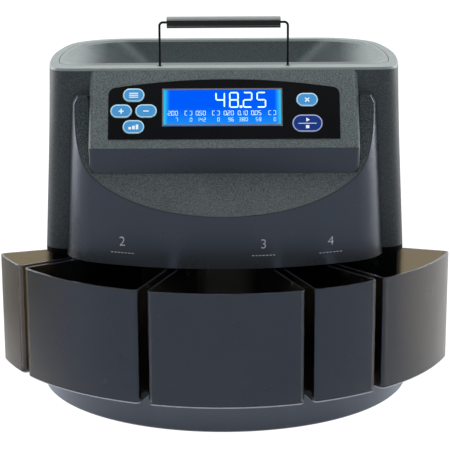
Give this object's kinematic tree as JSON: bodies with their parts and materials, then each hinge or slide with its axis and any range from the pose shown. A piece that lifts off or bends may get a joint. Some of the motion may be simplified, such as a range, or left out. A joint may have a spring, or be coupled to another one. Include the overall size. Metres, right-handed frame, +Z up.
{
  "type": "coin sorting machine",
  "caption": "Countertop coin sorter with a hopper, sloping display panel, pull-up handle and smoked pull-out bins round a bowed front.",
  "frame": {"origin": "middle of the footprint, on the surface that the machine stands on", "axes": "+X to the right seen from the front, +Y to the back, +Z up"},
  "size_m": [0.3578, 0.33, 0.3086],
  "materials": {
    "base_plastic": "fine matt moulded plastic",
    "housing_plastic": "fine textured moulded plastic",
    "cover_plastic": "smooth satin moulded plastic",
    "core_plastic": "black moulded plastic",
    "smoke_plastic": "clear smoked polycarbonate",
    "funnel_plastic": "fine textured moulded plastic",
    "panel_black": "glossy printed sheet",
    "lcd_blue": "lit display window",
    "key_blue": "moulded key",
    "key_navy": "moulded key",
    "key_rubber": "soft keypad mat",
    "foot_rubber": "soft rubber",
    "screw_steel": "zinc plated",
    "wire_chrome": "polished wire",
    "grip_plastic": "moulded grip",
    "bush_plastic": "moulded bush",
    "bush_brass": "turned bush",
    "deck_aluminium": "satin plate",
    "rotor_nylon": "moulded nylon",
    "motor_metal": "plated can",
    "board_green": "circuit board",
    "supply_metal": "folded sheet case",
    "inlet_plastic": "moulded socket"
  },
  "bodies": {
    "machine": {"base_pan": "base_plastic", "rubber_feet": "foot_rubber", "base_screws": "screw_steel", "core_shell": "core_plastic", "front_cover": "cover_plastic", "upper_housing": "housing_plastic", "hopper_funnel": "funnel_plastic", "console_shell": "housing_plastic", "console_overlay": "panel_black", "lcd_window": "lcd_blue", "lcd_module": "motor_metal", "display_board": "board_green", "keypad_mat": "key_rubber", "handle_bushes": "bush_plastic", "sort_deck": "deck_aluminium", "deck_pillars": "screw_steel", "deck_screws": "screw_steel", "coin_sensors": "inlet_plastic", "coin_rail": "deck_aluminium", "upper_bush": "bush_brass", "lower_bush": "bush_brass", "drive_posts": "screw_steel", "motor_plate": "deck_aluminium", "motor_screws": "screw_steel", "drive_motor": "motor_metal", "main_board": "board_green", "board_standoffs": "bush_brass", "power_supply": "supply_metal", "power_inlet": "inlet_plastic", "inlet_pins": "bush_brass", "switch_housing": "inlet_plastic"},
    "handle": {"handle_wire": "wire_chrome", "handle_grip": "grip_plastic", "handle_stops": "screw_steel"},
    "sorter": {"sort_rotor": "rotor_nylon", "feed_cone": "rotor_nylon", "drive_shaft": "screw_steel", "shaft_collar": "screw_steel", "drive_gear": "rotor_nylon"},
    "pinion": {"motor_shaft": "screw_steel", "motor_pinion": "bush_brass"},
    "rocker": {"switch_rocker": "inlet_plastic"},
    "set_button": {"set_button": "key_blue"},
    "plus_button": {"plus_button": "key_blue"},
    "minus_button": {"minus_button": "key_blue"},
    "batch_button": {"batch_button": "key_blue"},
    "clear_button": {"clear_button": "key_blue"},
    "start_button": {"start_button": "key_navy"},
    "bin_1": {"coin_bin_1": "smoke_plastic"},
    "bin_2": {"coin_bin_2": "smoke_plastic"},
    "bin_3": {"coin_bin_3": "smoke_plastic"},
    "bin_4": {"coin_bin_4": "smoke_plastic"},
    "bin_5": {"coin_bin_5": "smoke_plastic"}
  },
  "joints": [
    {"name": "handle_slide", "type": "slide", "parent": "machine", "child": "handle", "axis": [0, 0, 1], "range_m": [-0.0294, 0]},
    {"name": "set_button_press", "type": "slide", "parent": "machine", "child": "set_button", "axis": [0, 0.8821, -0.4711], "range_m": [0, 0.0008], "stiffness_N_per_m": 800},
    {"name": "plus_button_press", "type": "slide", "parent": "machine", "child": "plus_button", "axis": [0, 0.8821, -0.4711], "range_m": [0, 0.0008], "stiffness_N_per_m": 800},
    {"name": "minus_button_press", "type": "slide", "parent": "machine", "child": "minus_button", "axis": [0, 0.8821, -0.4711], "range_m": [0, 0.0008], "stiffness_N_per_m": 800},
    {"name": "batch_button_press", "type": "slide", "parent": "machine", "child": "batch_button", "axis": [0, 0.8821, -0.4711], "range_m": [0, 0.0008], "stiffness_N_per_m": 800},
    {"name": "clear_button_press", "type": "slide", "parent": "machine", "child": "clear_button", "axis": [0, 0.8821, -0.4711], "range_m": [0, 0.0008], "stiffness_N_per_m": 800},
    {"name": "start_button_press", "type": "slide", "parent": "machine", "child": "start_button", "axis": [0, 0.8821, -0.4711], "range_m": [0, 0.0008], "stiffness_N_per_m": 800},
    {"name": "bin_1_pull", "type": "slide", "parent": "machine", "child": "bin_1", "axis": [-0.8934, -0.4493, 0], "range_m": [0, 0.12]},
    {"name": "bin_2_pull", "type": "slide", "parent": "machine", "child": "bin_2", "axis": [-0.6032, -0.7976, 0], "range_m": [0, 0.12]},
    {"name": "bin_3_pull", "type": "slide", "parent": "machine", "child": "bin_3", "axis": [0.0044, -1, 0], "range_m": [0, 0.12]},
    {"name": "bin_4_pull", "type": "slide", "parent": "machine", "child": "bin_4", "axis": [0.4779, -0.8784, 0], "range_m": [0, 0.12]},
    {"name": "bin_5_pull", "type": "slide", "parent": "machine", "child": "bin_5", "axis": [0.8141, -0.5807, 0], "range_m": [0, 0.12]},
    {"name": "sorter_spin", "type": "hinge", "parent": "machine", "child": "sorter", "pos_m": [0, 0.0265, 0.1], "axis": [0, 0, 1], "continuous": true},
    {"name": "pinion_spin", "type": "hinge", "parent": "machine", "child": "pinion", "pos_m": [0, 0.0715, 0.095], "axis": [0, 0, 1], "continuous": true},
    {"name": "switch_rock", "type": "hinge", "parent": "machine", "child": "rocker", "pos_m": [0.03, 0.1604, 0.0536], "axis": [1, 0, 0], "range_deg": [-14, 0]}
  ],
  "couplings": [
    {"joint": "pinion_spin", "follows": "sorter_spin", "ratio": -4}
  ]
}
